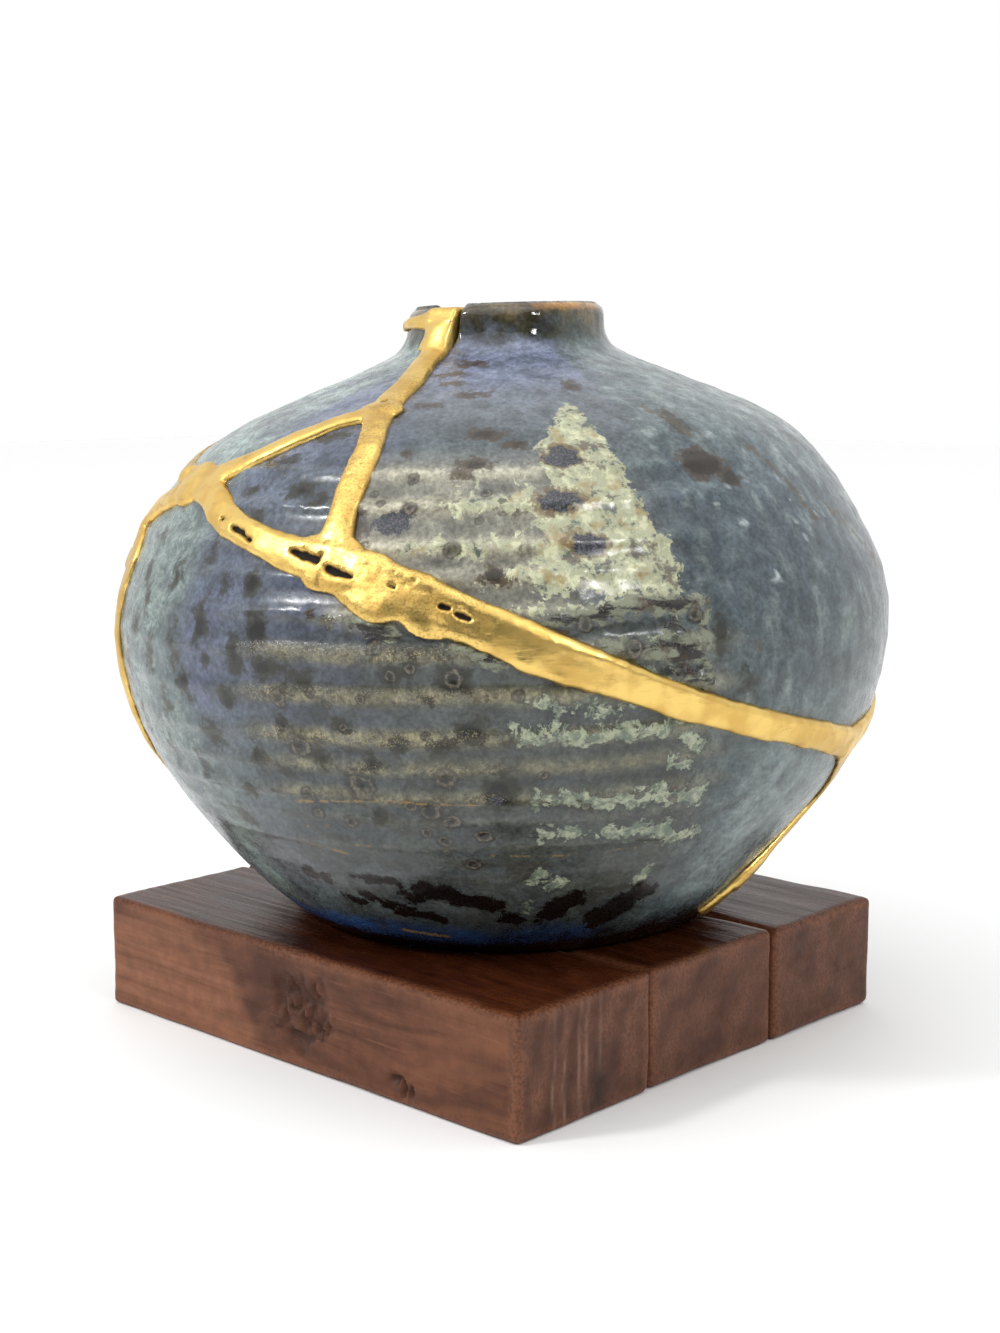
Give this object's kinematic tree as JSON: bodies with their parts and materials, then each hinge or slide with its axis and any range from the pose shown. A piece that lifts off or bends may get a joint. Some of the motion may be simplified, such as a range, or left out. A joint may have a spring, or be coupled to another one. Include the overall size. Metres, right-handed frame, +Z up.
{
  "type": "repaired ceramic vase on a wooden base",
  "caption": "Squat glazed ceramic vase with a small neck, mended along its cracks with raised gold seams, standing on a square wooden base.",
  "frame": {"origin": "centre of the wooden base's underside", "axes": "+Z up through the vase, X along the boards of the base, -Y towards the long side that carries the burr"},
  "size_m": [0.1722, 0.1712, 0.1601],
  "materials": {
    "glaze": "glossy mottled blue and grey glaze",
    "gold": "raised gold, lumpy and bright",
    "walnut": "oiled red-brown walnut"
  },
  "bodies": {
    "root": {"main_shoulder_shard": "glaze", "left_shoulder_shard": "glaze", "triangle_shard": "glaze", "front_bowl_shard": "glaze", "back_bowl_shard": "glaze", "gold_seams": "gold", "base_board_front": "walnut", "base_board_middle": "walnut", "base_board_back": "walnut"}
  },
  "joints": []
}
